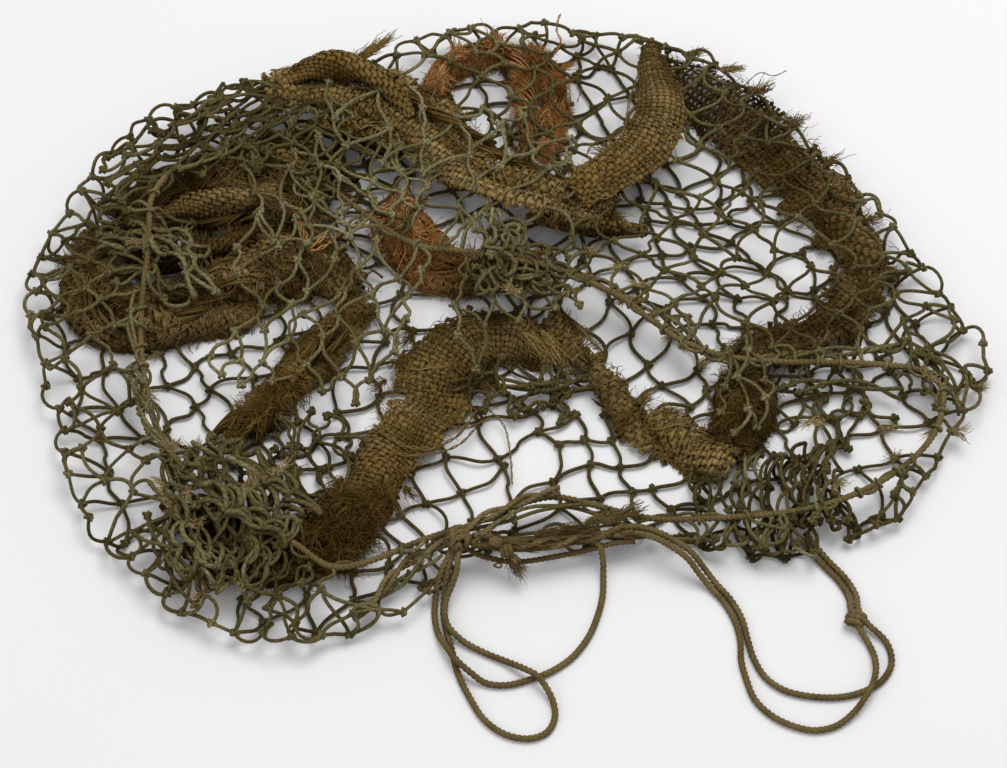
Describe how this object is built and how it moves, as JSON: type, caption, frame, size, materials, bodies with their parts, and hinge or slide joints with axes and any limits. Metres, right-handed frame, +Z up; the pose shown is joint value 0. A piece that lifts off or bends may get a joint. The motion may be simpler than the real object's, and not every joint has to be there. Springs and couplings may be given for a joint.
{
  "type": "helmet net",
  "caption": "Knotted cord helmet net lying collapsed with its mouth upwards, woven scrim strips threaded through it and a laid draw cord with loose loops at the front.",
  "frame": {"origin": "middle of the net's outline in plan, on the surface that it lies on; the loose cord loops are left out of that middle", "axes": "+X is the net's long way, left to right, +Z is up, and -Y is the side of the loose cord loops"},
  "size_m": [0.4431, 0.399, 0.0312],
  "materials": {
    "net_cord": "matte",
    "scrim_khaki": "matte",
    "scrim_dark": "matte",
    "scrim_rust": "matte",
    "draw_cord": "matte"
  },
  "bodies": {
    "root": {"net": "net_cord", "scrim_back_khaki": "scrim_khaki", "scrim_back_woven": "scrim_khaki", "scrim_right_open": "scrim_dark", "scrim_middle_twisted": "scrim_khaki", "scrim_right_lump": "scrim_khaki", "scrim_left_woven": "scrim_khaki", "scrim_left_frayed": "scrim_dark", "scrim_far_left_low": "scrim_dark", "scrim_far_left_high": "scrim_dark", "scrim_back_rust": "scrim_rust", "scrim_middle_rust": "scrim_rust", "draw_cord": "draw_cord", "draw_cord_knot": "draw_cord", "draw_cord_bundle": "draw_cord", "loop_left_outer": "draw_cord", "loop_left_inner": "draw_cord", "loop_right_upper": "draw_cord", "loop_right_lower": "draw_cord", "loop_right_neck_a": "draw_cord", "loop_right_neck_b": "draw_cord", "loop_right_knot": "draw_cord"}
  },
  "joints": []
}
